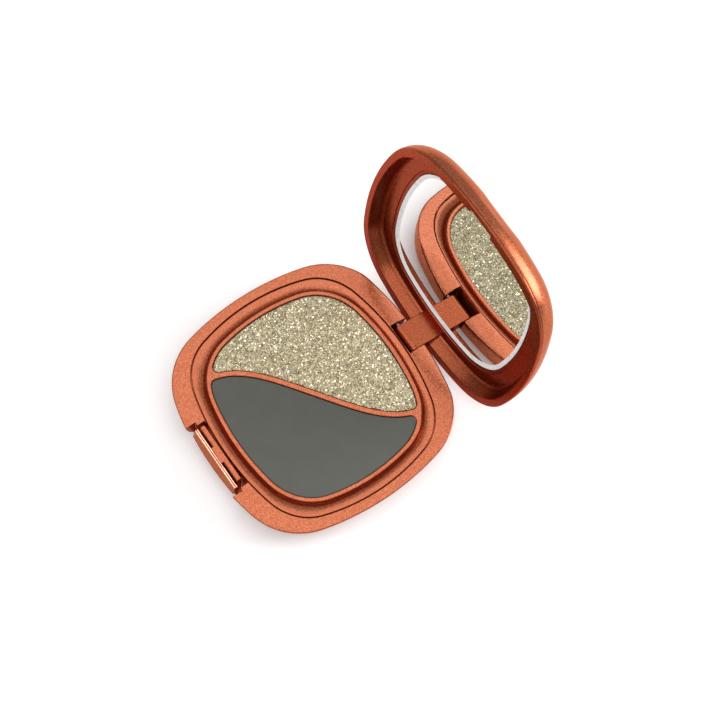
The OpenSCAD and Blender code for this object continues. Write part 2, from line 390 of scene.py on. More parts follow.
def pick_ring(mesh, ring):
    """Selects one ring of points and the edges round it"""
    mesh.verts.ensure_lookup_table()
    for i in ring:
        mesh.verts[i].select = True
    mesh.select_flush(True)


def draw_stack(name, rings, place=as_drawn):
    """A closed skin drawn ring by ring: a circle is shaped, then extruded once for each further ring.

    A ring is its points and its height, or a list with one height for each point.
    """
    let_go()
    count = len(rings[0][0])
    bpy.ops.mesh.primitive_circle_add(vertices=count, radius=MM, fill_type="NOTHING")
    piece = bpy.context.object
    piece.name = piece.data.name = name
    bpy.ops.object.mode_set(mode="EDIT")
    ring = list(range(count))
    for level, (points, z) in enumerate(rings):
        mesh = bmesh.from_edit_mesh(piece.data)
        if level:
            bpy.ops.mesh.select_all(action="DESELECT")
            pick_ring(mesh, ring)
            bpy.ops.mesh.extrude_edges_move()
            mesh = bmesh.from_edit_mesh(piece.data)
            mesh.verts.index_update()
            mesh.verts.ensure_lookup_table()
            above = []
            for i in ring:
                above += [
                    e.other_vert(mesh.verts[i]).index
                    for e in mesh.verts[i].link_edges
                    if e.other_vert(mesh.verts[i]).select
                ]
            ring = above
        mesh.verts.ensure_lookup_table()
        heights = z if isinstance(z, list) else [z] * count
        for i, (x, y), height in zip(ring, points, heights):
            mesh.verts[i].co = place(x, y, height)
        bmesh.update_edit_mesh(piece.data)
    for loop in (list(range(count)), ring):
        bpy.ops.mesh.select_all(action="DESELECT")
        pick_ring(bmesh.from_edit_mesh(piece.data), loop)
        bpy.ops.mesh.edge_face_add()
    bpy.ops.mesh.select_all(action="SELECT")
    bpy.ops.mesh.normals_make_consistent(inside=False)
    bpy.ops.object.mode_set(mode="OBJECT")
    return piece


def use_modifier(piece, kind, **settings):
    """Adds a modifier, sets it and applies it"""
    take_up(piece)
    modifier = piece.modifiers.new(kind.lower(), kind)
    for key, value in settings.items():
        setattr(modifier, key, value)
    bpy.ops.object.modifier_apply(modifier=modifier.name)


def cut_out(piece, *cutters):
    """Takes the cutters' space out of a piece"""
    for cutter in cutters:
        use_modifier(piece, "BOOLEAN", operation="DIFFERENCE", solver="EXACT", object=cutter)
        bpy.data.objects.remove(cutter)


def weld_on(piece, *others):
    """Makes other blocks one skin with a piece"""
    for other in others:
        use_modifier(piece, "BOOLEAN", operation="UNION", solver="EXACT", object=other)
        bpy.data.objects.remove(other)


def box_tool(x0, x1, y0, y1, z0, z1, corner, lip, lip_z, place=as_drawn):
    """A box-shaped cutter, whose walls open out in a quarter round of radius lip up to lip_z"""
    rings = [(rounded_box(x0, x1, y0, y1, corner), z0)]
    for out, up in rounding(lip):
        rings.append((rounded_box(x0, x1, y0, y1, corner, out), lip_z - lip + up))
    rings.append((rounded_box(x0, x1, y0, y1, corner, lip), z1))
    return draw_stack("tool", rings, place)


def soft_box(x0, x1, y0, y1, z0, z1, corner=0.25, top=0.2, bottom=0.1):
    """A solid block with round upright edges and rounded top and bottom edges"""
    rings = []
    for back, up in reversed(rounding(bottom, 3)):
        rings.append((rounded_box(x0, x1, y0, y1, corner, -back), z0 + bottom - up))
    for back, up in rounding(top, 5):
        rings.append((rounded_box(x0, x1, y0, y1, corner, -back), z1 - top + up))
    return draw_stack("block", rings)


def finish_piece(piece, material, body, nodes, angle=32, even=True):
    """Smooth shading, finish, body and the CAD nodes that the piece stands for"""
    take_up(piece)
    piece.data.materials.clear()
    piece.data.materials.append(material)
    bpy.ops.object.shade_smooth_by_angle(angle=math.radians(angle))
    if even:
        use_modifier(piece, "WEIGHTED_NORMAL", keep_sharp=True, weight=60)
    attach(piece, body)
    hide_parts(*nodes)
    let_go()
    return piece


# ---- finishes ----


def start_finish(name, **values):
    """A new material with its shader's fixed values set, and its object coordinates"""
    material = bpy.data.materials.new(name)
    material.use_nodes = True
    nodes = material.node_tree.nodes
    shader = nodes["Principled BSDF"]
    for socket, value in values.items():
        shader.inputs[socket.replace("_", " ")].default_value = value
    place = nodes.new("ShaderNodeTexCoord")
    return material, shader, place.outputs["Object"]


def join(material, source, target):
    material.node_tree.links.new(source, target)


def cloud(material, place, size_mm, detail, rough):
    """Noise whose patches are about size_mm across"""
    node = material.node_tree.nodes.new("ShaderNodeTexNoise")
    node.inputs["Scale"].default_value = 1 / (size_mm * MM)
    node.inputs["Detail"].default_value = detail
    node.inputs["Roughness"].default_value = rough
    join(material, place, node.inputs["Vector"])
    return node.outputs["Fac"]


def grains(material, place, size_mm):
    """Cells about size_mm across"""
    node = material.node_tree.nodes.new("ShaderNodeTexVoronoi")
    node.inputs["Scale"].default_value = 1 / (size_mm * MM)
    join(material, place, node.inputs["Vector"])
    return node


def shades(material, source, *stops):
    """Colours spread over a value from 0 to 1"""
    node = material.node_tree.nodes.new("ShaderNodeValToRGB")
    ramp = node.color_ramp
    for i, (at, colour) in enumerate(stops):
        stop = ramp.elements[i] if i < 2 else ramp.elements.new(at)
        stop.position = at
        stop.color = (*colour, 1)
    join(material, source, node.inputs["Fac"])
    return node.outputs["Color"]


def spread(material, source, low, high, from_low=0.3, from_high=0.7):
    """A value moved from one range to another"""
    node = material.node_tree.nodes.new("ShaderNodeMapRange")
    node.inputs["From Min"].default_value = from_low
    node.inputs["From Max"].default_value = from_high
    node.inputs["To Min"].default_value = low
    node.inputs["To Max"].default_value = high
    join(material, source, node.inputs["Value"])
    return node.outputs["Result"]


def blend_colours(material, share, first, second, kind="MIX"):
    """Two colours mixed by a fixed share"""
    node = material.node_tree.nodes.new("ShaderNodeMix")
    node.data_type = "RGBA"
    node.blend_type = kind
    node.inputs["Factor"].default_value = share
    join(material, first, node.inputs[6])
    join(material, second, node.inputs[7])
    return node.outputs[2]


def relief(material, shader, height, depth_mm, strength):
    """Fine unevenness of the surface"""
    node = material.node_tree.nodes.new("ShaderNodeBump")
    node.inputs["Strength"].default_value = strength
    node.inputs["Distance"].default_value = depth_mm * MM
    join(material, height, node.inputs["Height"])
    join(material, node.outputs["Normal"], shader.inputs["Normal"])


def channels(material, colour):
    """The red, green and blue parts of a colour"""
    node = material.node_tree.nodes.new("ShaderNodeSeparateColor")
    join(material, colour, node.inputs["Color"])
    return node.outputs


def stretched(material, place, along_x):
    """Coordinates that run slower along X, which draws a pattern out in that direction"""
    node = material.node_tree.nodes.new("ShaderNodeMapping")
    node.inputs["Scale"].default_value = (along_x, 1, 1)
    join(material, place, node.inputs["Vector"])
    return node.outputs["Vector"]


def of_vectors(material, kind, first, second):
    """The difference or the dot product of two vectors"""
    node = material.node_tree.nodes.new("ShaderNodeVectorMath")
    node.operation = kind
    join(material, first, node.inputs[0])
    if isinstance(second, tuple):
        node.inputs[1].default_value = second
    else:
        join(material, second, node.inputs[1])
    return node.outputs["Value"] if kind == "DOT_PRODUCT" else node.outputs["Vector"]


def copper_lacquer(name, depth=1.0):
    """Satin copper lacquer with a fine metal-flake grain. A lower depth paints shade into it: a darker,
    redder copy of the same lacquer.
    """
    material, shader, place = start_finish(
        name,
        Metallic=0.95,
        Coat_Weight=0.3 * depth,
        Coat_Roughness=0.2,
        Specular_Tint=(0.85, 0.42 * depth, 0.26 * depth, 1),
    )

    # Colours darkened and reddened as depth falls below 1: painted shade
    def coat(red, green, blue):
        return (red * depth**0.6, green * depth, blue * depth**1.4)

    fine = cloud(material, place, 0.26, 2.0, 0.7)
    broad = cloud(material, place, 1.6, 3.0, 0.5)
    flake = shades(
        material,
        fine,
        (0.32, coat(0.21, 0.042, 0.015)),
        (0.5, coat(0.38, 0.096, 0.040)),
        (0.68, coat(0.60, 0.21, 0.11)),
    )
    drift = shades(
        material, broad, (0.3, coat(0.35, 0.084, 0.033)), (0.7, coat(0.41, 0.106, 0.046))
    )
    join(material, blend_colours(material, 0.3, flake, drift), shader.inputs["Base Color"])
    join(material, spread(material, fine, 0.24, 0.36), shader.inputs["Roughness"])
    relief(material, shader, fine, 0.03, 0.55)
    return material


def highlight_copper():
    """Lighter, smoother copper for the button's beads: a painted highlight along them"""
    material, shader, place = start_finish("copper_painted_highlight", Metallic=1.0)
    fine = cloud(material, place, 0.3, 2.0, 0.6)
    tint = shades(material, fine, (0.3, (0.84, 0.44, 0.29)), (0.7, (0.95, 0.64, 0.49)))
    join(material, tint, shader.inputs["Base Color"])
    join(material, spread(material, fine, 0.10, 0.18), shader.inputs["Roughness"])
    return material


def gold_glitter():
    """Pressed glitter: small flat flakes at every angle, from olive gold to near white"""
    material, shader, place = start_finish("gold_glitter", Metallic=0.8)
    small = grains(material, place, 0.24)
    large = grains(material, place, 0.62)
    of_small = channels(material, small.outputs["Color"])
    of_large = channels(material, large.outputs["Color"])
    tint = shades(
        material,
        of_small["Red"],
        (0.0, (0.15, 0.115, 0.050)),
        (0.4, (0.60, 0.505, 0.29)),
        (0.8, (0.96, 0.84, 0.56)),
        (1.0, (1.0, 0.95, 0.78)),
    )
    patch = shades(
        material, of_large["Green"], (0.15, (0.30, 0.25, 0.14)), (0.9, (0.95, 0.87, 0.65))
    )
    crumb = cloud(material, place, 0.42, 3.0, 0.7)
    shade = shades(material, crumb, (0.40, (0.30, 0.25, 0.17)), (0.56, (1.0, 1.0, 1.0)))
    bed = blend_colours(material, 0.42, tint, patch)
    crumbly = blend_colours(material, 0.75, bed, shade, "MULTIPLY")
    join(material, crumbly, shader.inputs["Base Color"])
    join(material, spread(material, of_small["Blue"], 0.24, 0.5, 0, 1), shader.inputs["Roughness"])
    from_centre = of_vectors(material, "SUBTRACT", place, small.outputs["Position"])
    lean = of_vectors(material, "SUBTRACT", small.outputs["Color"], (0.5, 0.5, 0.5))
    tilt = of_vectors(material, "DOT_PRODUCT", from_centre, lean)
    relief(material, shader, tilt, 1 / MM, 0.8)
    return material


def bright_flake():
    """The larger loose flakes on the glitter's surface"""
    material, shader, place = start_finish("bright_flake", Metallic=0.95)
    cells = grains(material, place, 0.5)
    of_cell = channels(material, cells.outputs["Color"])
    tint = shades(
        material,
        of_cell["Red"],
        (0.0, (0.62, 0.53, 0.30)),
        (0.5, (0.88, 0.80, 0.55)),
        (1.0, (1.0, 0.97, 0.86)),
    )
    join(material, tint, shader.inputs["Base Color"])
    join(material, spread(material, of_cell["Green"], 0.1, 0.3, 0, 1), shader.inputs["Roughness"])
    return material


def pressed_powder():
    """Matte charcoal powder with the faint grain of a pressing cloth"""
    material, shader, place = start_finish(
        "grey_powder", Metallic=0.0, Sheen_Weight=0.15, Sheen_Roughness=0.6
    )
    shader.inputs["Specular IOR Level"].default_value = 0.25
    fine = cloud(material, place, 0.14, 4.0, 0.75)
    broad = cloud(material, place, 5.0, 2.0, 0.5)
    speck = shades(material, fine, (0.35, (0.080, 0.081, 0.070)), (0.65, (0.126, 0.127, 0.111)))
    drift = shades(material, broad, (0.3, (0.095, 0.096, 0.083)), (0.7, (0.109, 0.110, 0.096)))
    join(material, blend_colours(material, 0.5, speck, drift), shader.inputs["Base Color"])
    join(material, spread(material, fine, 0.75, 0.95), shader.inputs["Roughness"])
    relief(material, shader, fine, 0.03, 0.5)
    return material


def silvered_glass():
    """Mirror glass, with the slightest haze from handling"""
    material, shader, place = start_finish("silvered_glass", Metallic=1.0)
    haze = cloud(material, place, 9, 4.0, 0.6)
    tint = shades(material, haze, (0.3, (0.90, 0.915, 0.91)), (0.7, (0.94, 0.95, 0.945)))
    join(material, tint, shader.inputs["Base Color"])
    join(material, spread(material, haze, 0.008, 0.03), shader.inputs["Roughness"])
    return material


def border_painted_reflection():
    """The mirror's sloping border, pale with dark streaks: a painted reflection of the bevel's bright
    line
    """
    material, shader, place = start_finish("border_painted_reflection", Metallic=0.1)
    streak = cloud(material, stretched(material, place, 0.2), 0.7, 3.0, 0.6)
    tint = shades(material, streak, (0.34, (0.80, 0.81, 0.82)), (0.48, (0.98, 0.99, 0.99)))
    join(material, tint, shader.inputs["Base Color"])
    join(material, spread(material, streak, 0.3, 0.45), shader.inputs["Roughness"])
    return material


def bare_metal(name, dark, light, rough, grain_mm):
    """Pressed or drawn metal with a fine brushed grain along X"""
    material, shader, place = start_finish(name, Metallic=1.0)
    grain = cloud(material, stretched(material, place, 0.08), grain_mm, 4.0, 0.6)
    join(material, shades(material, grain, (0.3, dark), (0.7, light)), shader.inputs["Base Color"])
    join(material, spread(material, grain, rough - 0.08, rough + 0.08), shader.inputs["Roughness"])
    relief(material, shader, grain, 0.01, 0.4)
    return material


def soft_layer(name, dark, light, rough, grain_mm, depth_mm):
    """Glue, tape or film: one dull layer with its own grain"""
    material, shader, place = start_finish(name, Metallic=0.0)
    grain = cloud(material, place, grain_mm, 4.0, 0.6)
    join(material, shades(material, grain, (0.3, dark), (0.7, light)), shader.inputs["Base Color"])
    join(material, spread(material, grain, rough - 0.06, rough + 0.06), shader.inputs["Roughness"])
    relief(material, shader, grain, depth_mm, 0.5)
    return material


def floor_paint():
    """Pale matte floor that glows a little"""
    material, shader, place = start_finish(
        "pale_floor", Roughness=0.9, Emission_Color=(1, 1, 1, 1), Emission_Strength=0.14
    )
    shader.inputs["Specular IOR Level"].default_value = 0.1
    tone = cloud(material, place, 60, 2.0, 0.5)
    pale = shades(material, tone, (0.3, (0.90, 0.90, 0.90)), (0.7, (0.92, 0.92, 0.92)))
    join(material, pale, shader.inputs["Base Color"])
    return material


COPPER = copper_lacquer("copper_lacquer")
# A darker, redder copy of the same lacquer: painted shade for the lid's inner moulding
SHADED_COPPER = copper_lacquer("copper_lacquer_painted_shade", 0.62)
# Lighter copper for the button's beads: painted highlight
HIGHLIGHT_COPPER = highlight_copper()
GLITTER = gold_glitter()
FLAKE = bright_flake()
GREY = pressed_powder()
MIRROR = silvered_glass()
# Pale streaked finish for the mirror's border: painted reflection
PAINTED_REFLECTION_GLASS = border_painted_reflection()
PAN_METAL = bare_metal("pan_metal", (0.72, 0.72, 0.71), (0.86, 0.86, 0.85), 0.34, 0.3)
PIN_STEEL = bare_metal("pin_steel", (0.50, 0.50, 0.51), (0.68, 0.68, 0.69), 0.28, 0.2)
GLUE = soft_layer("pan_glue", (0.62, 0.57, 0.44), (0.74, 0.70, 0.58), 0.4, 1.2, 0.05)
TAPE = soft_layer("foam_tape", (0.72, 0.72, 0.70), (0.86, 0.86, 0.84), 0.85, 0.25, 0.06)
FILM = soft_layer("label_film", (0.78, 0.77, 0.75), (0.86, 0.85, 0.83), 0.35, 0.8, 0.01)


# ---- base ----


def base_inset(h):
    """How far the base's side has come in at a depth below the rim"""
    return SIDE_DRAFT * h + SIDE_TUCK * (1 - math.sqrt(max(0, 1 - (h / rim_z) ** 3)))


def rim_at(y):
    """Height of the rim, which falls away behind a crest so that the lid can swing back"""
    return rim_z - REAR_FALL * max(0, y - SLOPE_START)


def wall_row(depth):
    """One row of the base's side, squeezed down where the rim is lower"""
    nominal = base_inset(depth)
    ring = case_ring(nominal)
    heights = [(rim_z - depth) * (rim_at(y) - RIM_EDGE) / (rim_z - RIM_EDGE) for _, y in ring]
    inward = [base_inset(rim_z - z) - nominal for z in heights]
    return [grown(ring, -by)[i] if by else ring[i] for i, by in enumerate(inward)], heights


def rim_rows(start, end, steps=6):
    """Rows that turn the side's top edge over onto the rim"""
    rows = []
    for k in range(1, steps + 1):
        t = k / steps
        points, heights = [], []
        for (xs, ys), (xe, ye) in zip(start, end):
            points.append((xs + (xe - xs) * t * t, ys + (ye - ys) * t * t))
            low, corner, high = rim_at(ys) - RIM_EDGE, rim_at(ys), rim_at(ye)
            heights.append((1 - t) ** 2 * low + 2 * t * (1 - t) * corner + t * t * high)
        rows.append((points, heights))
    return rows


def crest_row(outer, inner):
    """Row along the crest at the rear, and close inside the outer edge everywhere else"""
    points = []
    for (xo, yo), (xi, yi) in zip(outer, inner):
        share = max(0.03, (yo - SLOPE_START) / (yo - yi) if yo > SLOPE_START else 0)
        points.append((xo + (xi - xo) * share, yo + (yi - yo) * share))
    return points


def make_base_shell():
    """Bottom shell from its floor up the side, over the rim and down to the well, then cut out"""
    rings = []
    steps = 22
    for i in range(steps, -1, -1):
        depth = rim_z * math.sin(math.pi / 2 * i / steps) ** (2 / 3)
        if depth > RIM_EDGE:
            rings.append(wall_row(depth))
    start = wall_row(RIM_EDGE)
    rings.append(start)
    end = grown(start[0], -RIM_EDGE)
    rings += rim_rows(start[0], end)
    mouth = 0.18
    rings.append((crest_row(end, tray_ring(-TRAY_GAP - mouth)), rim_z))
    for back, up in reversed(rounding(mouth)):
        rings.append((tray_ring(-TRAY_GAP - back), rim_z - mouth + up))
    rings.append((tray_ring(-TRAY_GAP), SEAT_Z))
    well = rounded_square(*WELL_HALF, PAN_BOW, WELL_CORNER)
    rings.append((well, SEAT_Z))
    rings.append((well, WELL_FLOOR_Z))
    shell = draw_stack("base_case", rings)

    lip = 0.15
    past, above = half + 2, rim_z + 1
    slit = TONGUE_HALF + SLIT
    cut_out(
        shell,
        box_tool(-SLOT_HALF, SLOT_HALF, SLOT_FRONT, past, SLOT_FLOOR_Z, above, 0.15, lip, rim_z),
        box_tool(-RECESS_HALF, RECESS_HALF, -past, RECESS_BACK, RECESS_Z, above, 0.2, lip, rim_z),
        box_tool(-slit, slit, RECESS_BACK - 0.5, SLIT_BACK, RECESS_Z, above, 0.1, lip, rim_z),
    )
    room = 0.1
    pin_hole = round_bar(PIN_HOLE, pin_low.x / MM - room, pin_high.x / MM + room)
    label_room = [(round_disc(LABEL_ROOM), -1), (round_disc(LABEL_ROOM), LABEL_DEEP)]
    cut_out(shell, draw_stack("tool", pin_hole, along_hinge), draw_stack("tool", label_room))
    return finish_piece(shell, COPPER, "base", ["base_shell"])


def round_disc(radius, steps=96):
    """Points round a circle"""
    return [
        (radius * math.cos(2 * math.pi * i / steps), radius * math.sin(2 * math.pi * i / steps))
        for i in range(steps)
    ]


def round_bar(radius, x0, x1, edge=0.0):
    """Rings of a bar, as (outline, place along the bar)"""
    if not edge:
        return [(round_disc(radius, 48), x0), (round_disc(radius, 48), x1)]
    rings = [(round_disc(radius - b, 48), x0 + edge - u) for b, u in reversed(rounding(edge, 4))]
    rings += [(round_disc(radius - b, 48), x1 - edge + u) for b, u in rounding(edge, 4)]
    return rings


def along_hinge(u, v, x):
    """Place of a point beside the hinge line, in (behind, above, along)"""
    return as_drawn(x, hinge_y + u, hinge_z + v)


def make_tray():
    """Insert with a dished band, a raised ridge round the pans and the two pockets cut into it"""
    toe, edge = 0.12, 0.15
    foot = pan_ring(-RIDGE_W - toe)
    rings = [
        (pan_ring(0.3 - RIDGE_W), POCKET_FLOOR_Z - 1),
        (pan_ring(-RIDGE_W), SEAT_Z),
        (tray_ring(0), SEAT_Z),
    ]
    for inward, up in rounding(edge, 4):
        rings.append((tray_ring(inward), TRAY_EDGE_Z - edge + up))
    shelf = tray_ring(edge)
    rows = 14
    for i in range(1, rows + 1):
        share = i / rows
        fall = (TRAY_EDGE_Z - VALLEY_Z) * (0.12 * share + 0.88 * share**2.6)
        rings.append((between(shelf, foot, share * 0.97), TRAY_EDGE_Z - fall))
    rings.append((foot, VALLEY_Z + toe))
    top_edge = 0.32
    for inward, up in rounding(top_edge, 6):
        rings.append((pan_ring(-RIDGE_W - 0.05 + inward), RIDGE_Z - top_edge + up))
    tray = draw_stack("pan_tray_moulding", rings)
    lip = 0.28
    for outline in (GOLD_RING, GREY_RING):
        cutter = [(outline, POCKET_FLOOR_Z)]
        for out, up in rounding(lip):
            cutter.append((grown(outline, out), RIDGE_Z - lip + up))
        cutter.append((grown(outline, lip), RIDGE_Z + 1))
        cut_out(tray, draw_stack("tool", cutter))
    return finish_piece(tray, COPPER, "base", ["pan_tray"])


def make_powder(name, outline, material, node):
    """A pressed cake that fills its pan and laps over the pan's lip"""
    edge, gap, pan_wall = 0.3, 0.05, 0.5
    inside = grown(outline, -pan_wall)
    rings = [(inside, CAKE_FOOT_Z), (inside, PAN_LIP_Z), (grown(outline, -gap), PAN_LIP_Z)]
    for inward, up in rounding(edge, 6):
        rings.append((grown(outline, -gap - inward), POWDER_Z - edge + up))
    powder = draw_stack(name, rings)
    return finish_piece(powder, material, "base", [node])


def inside_ring(x, y, ring):
    """Whether a point lies within a closed ring"""
    hit = False
    for i, (xb, yb) in enumerate(ring):
        xa, ya = ring[i - 1]
        if (ya > y) != (yb > y) and x < (xb - xa) * (y - ya) / (yb - ya) + xa:
            hit = not hit
    return hit


def make_flakes(count=1500):
    """Loose flakes that lie on the glitter at every angle: one six-sided plate, copied and joined"""
    thick, chamfer, margin = 0.12, 0.04, 0.55
    let_go()
    bpy.ops.mesh.primitive_cylinder_add(vertices=6, radius=MM, depth=thick * MM)
    plate = bpy.context.object
    bpy.ops.object.mode_set(mode="EDIT")
    bpy.ops.mesh.select_all(action="SELECT")
    bpy.ops.mesh.bevel(offset=chamfer * MM, segments=1, affect="EDGES")
    bpy.ops.object.mode_set(mode="OBJECT")
    field = grown(GOLD_RING, -margin)
    low_x, high_x = min(p[0] for p in field), max(p[0] for p in field)
    low_y, high_y = min(p[1] for p in field), max(p[1] for p in field)
    copies = []
    while len(copies) < count:
        x, y = random.uniform(low_x, high_x), random.uniform(low_y, high_y)
        if not inside_ring(x, y, field):
            continue
        size = random.choice((0.11, 0.13, 0.15, 0.18, 0.24))
        lean = math.radians(random.triangular(0, 48, 12))
        turn = (
            Matrix.Rotation(random.uniform(0, 2 * math.pi), 4, "Z")
            @ Matrix.Rotation(lean, 4, "X")
            @ Matrix.Rotation(random.uniform(0, math.pi / 3), 4, "Z")
        )
        up = POWDER_Z + 0.5 * size * math.sin(lean)
        mesh = plate.data.copy()
        mesh.transform(Matrix.Translation(as_drawn(x, y, up)) @ turn @ Matrix.Scale(size, 4))
        copy = bpy.data.objects.new("flake", mesh)
        bpy.context.scene.collection.objects.link(copy)
        copies.append(copy)
    bpy.data.objects.remove(plate)
    let_go()
    for copy in copies:
        copy.select_set(True)
    bpy.context.view_layer.objects.active = copies[0]
    bpy.ops.object.join()
    flakes = bpy.context.object
    flakes.name = flakes.data.name = "gold_flakes"
    flakes.data.materials.append(FLAKE)
    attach(flakes, "base")
    let_go()
    return flakes


def button_profile(x):
    """Section of the press button at x, in (y, z): two fine beads run along its top edge"""
    bead = BUTTON_BEAD
    low = BUTTON_TOP_Z - bead
    points = [(BUTTON_BACK, LATCH_FOOT_Z), (BUTTON_BACK, BUTTON_TOP_Z - 1), (BUTTON_BACK, low)]
    for centre in (BUTTON_BACK - bead, BUTTON_BACK - 3 * bead):
        steps = 8
        for i in range(1, steps + 1):
            a = math.pi * i / steps
            points.append((centre + bead * math.cos(a), low + bead * math.sin(a)))
    belly_y, belly_z = BUTTON_BELLY
    belly_y -= BUTTON_BOW * (1 - (x / BUTTON_HALF) ** 2)
    soft = 0.3
    points.append((belly_y + 0.03, belly_z + soft))
    points.append((belly_y, belly_z))
    points.append((belly_y + 0.08, belly_z - soft))
    points.append((BUTTON_FOOT, LATCH_FOOT_Z))
    return points


def make_latch_tongue():
    """Sprung tongue with its forward nib, and the press button joined to it at the foot"""
    foot, web_tall = LATCH_FOOT_Z, 0.8
    back, inside = RECESS_BACK + TONGUE_THICK, RECESS_BACK + 0.6
    top = rim_z + TONGUE_RISE
    tongue = soft_box(-TONGUE_HALF, TONGUE_HALF, RECESS_BACK, back, foot, top)
    nib = soft_box(
        -NIB_HALF, NIB_HALF, RECESS_BACK - NIB_OUT, inside, top - NIB_TALL, top, 0.2, 0.2, 0.15
    )
    web = soft_box(-TONGUE_HALF, TONGUE_HALF, BUTTON_FOOT + 0.1, inside, foot, foot + web_tall)
    edge = 0.14
    end = button_profile(BUTTON_HALF)
    rings = [(grown(end, -b), -BUTTON_HALF + edge - u) for b, u in reversed(rounding(edge, 4))]
    rows = 12
    for i in range(1, rows):
        x = (BUTTON_HALF - edge) * (2 * i / rows - 1)
        rings.append((button_profile(x), x))
    rings += [(grown(end, -b), BUTTON_HALF - edge + u) for b, u in rounding(edge, 4)]
    button = draw_stack("button", rings, lambda y, z, x: as_drawn(x, y, z))
    weld_on(tongue, nib, web, button)
    tongue.name = tongue.data.name = "latch_tongue_lever"
    finish_piece(tongue, COPPER, "base", ["latch_tongue"])
    # The button's two beads take the lighter copper: a painted highlight along them
    tongue.data.materials.append(HIGHLIGHT_COPPER)
    for face in tongue.data.polygons:
        y, z = face.center.y / MM, face.center.z / MM
        on_beads = y < BUTTON_BACK + 0.02 and BUTTON_TOP_Z - BUTTON_BEAD < z < rim_z
        if on_beads and face.normal.z > 0.25:
            face.material_index = 1
    return tongue


def make_hinge_pin():
    """Steel pin with rounded ends"""
    edge = 0.15
    rings = round_bar(PIN_RADIUS, pin_low.x / MM, pin_high.x / MM, edge)
    pin = draw_stack("hinge_pin_rod", rings, along_hinge)
    return finish_piece(pin, PIN_STEEL, "base", ["hinge_pin"])


def make_label():
    """Blank film disc under the case, with a fine raised edge"""
    radius = label_high.x / MM
    low, high = label_low.z / MM, label_high.z / MM
    edge = 0.05
    rings = [(round_disc(radius - edge + u), low + edge - b) for b, u in rounding(edge, 3)]
    rings.append((round_disc(radius), high))
    label = draw_stack("bottom_label_disc", rings)
    return finish_piece(label, FILM, "base", ["bottom_label"])


# ---- lid ----


def lid_inset(z):
    """How far the lid's side has come in at a height above the base's rim"""
    return SHOULDER_IN * (max(z, 0) / SHOULDER_Z) ** SHOULDER_POWER


def dome_z(inset):
    """Height of the lid's domed top at a distance in from its side"""
    share = (half - inset) / (half - SHOULDER_IN)
    return SHOULDER_Z + (LID_TOP - SHOULDER_Z) * (1 - share**2)


def finger_scallop(x, y, z):
    """How far the lid's front wall is pressed in for a fingertip"""
    if y > -half / 2:
        return 0
    half_width, start_z, run, deep = 6.5, 3.2, 1.6, 0.55
    across = max(0, 1 - (x / half_width) ** 2)
    up = max(0, min(1, (z - start_z) / run))
    return deep * across**0.8 * up * up * (3 - 2 * up)


def top_wave(x, y):
    """Height of the low S-shaped wave pressed into the lid's top"""
    crest, crest_width = 0.22, 2.2
    dip, dip_width, dip_away = 0.1, 2.6, 5
    reach = 27
    away, _ = beside_divider(x, -y, 1)
    fade = max(0, 1 - (math.hypot(x, y) / reach) ** 4)
    raised = crest * fade * math.exp(-((away / crest_width) ** 2))
    return raised - dip * fade * math.exp(-(((away - dip_away) / dip_width) ** 2))


def make_lid_cover():
    """Domed shell: its inside from the ceiling down to the flange, then its outside up to the crown"""
    rings = []
    for inset in (26, 20, 14):
        rings.append((dome_ring(inset + COVER_WALL), dome_z(inset) - COVER_TOP))
    inner_top = SHOULDER_Z - COVER_TOP
    rows = 8
    for i in range(rows + 1):
        z = inner_top - (inner_top - FLANGE) * i / rows
        rings.append((case_ring(lid_inset(z) + COVER_WALL), z))
    edge = 0.12
    for out, down in rounding(edge, 3):
        rings.append((case_ring(edge - down), FLANGE + out))
    rows = 24
    for i in range(1, rows + 1):
        z = FLANGE + edge + (SHOULDER_Z - FLANGE - edge) * i / rows
        ring = case_ring(lid_inset(z))
        rings.append(([(x, y + finger_scallop(x, y, z)) for x, y in ring], z))
    rows, middle, run, sunk = 30, 0.8, 3, 0.2
    for i in range(1, rows + 1):
        inset = SHOULDER_IN + (half - SHOULDER_IN - middle) * i / rows
        ring = dome_ring(inset)
        level = dome_z(inset)
        blend = min(1, (inset - SHOULDER_IN) / run)
        rings.append((ring, [level + blend * min(0, top_wave(x, y) - sunk) for x, y in ring]))
    cover = draw_stack("lid_cover_shell", rings, stood_open)
    return finish_piece(cover, COPPER, "lid", ["lid_cover"], angle=40, even=False)


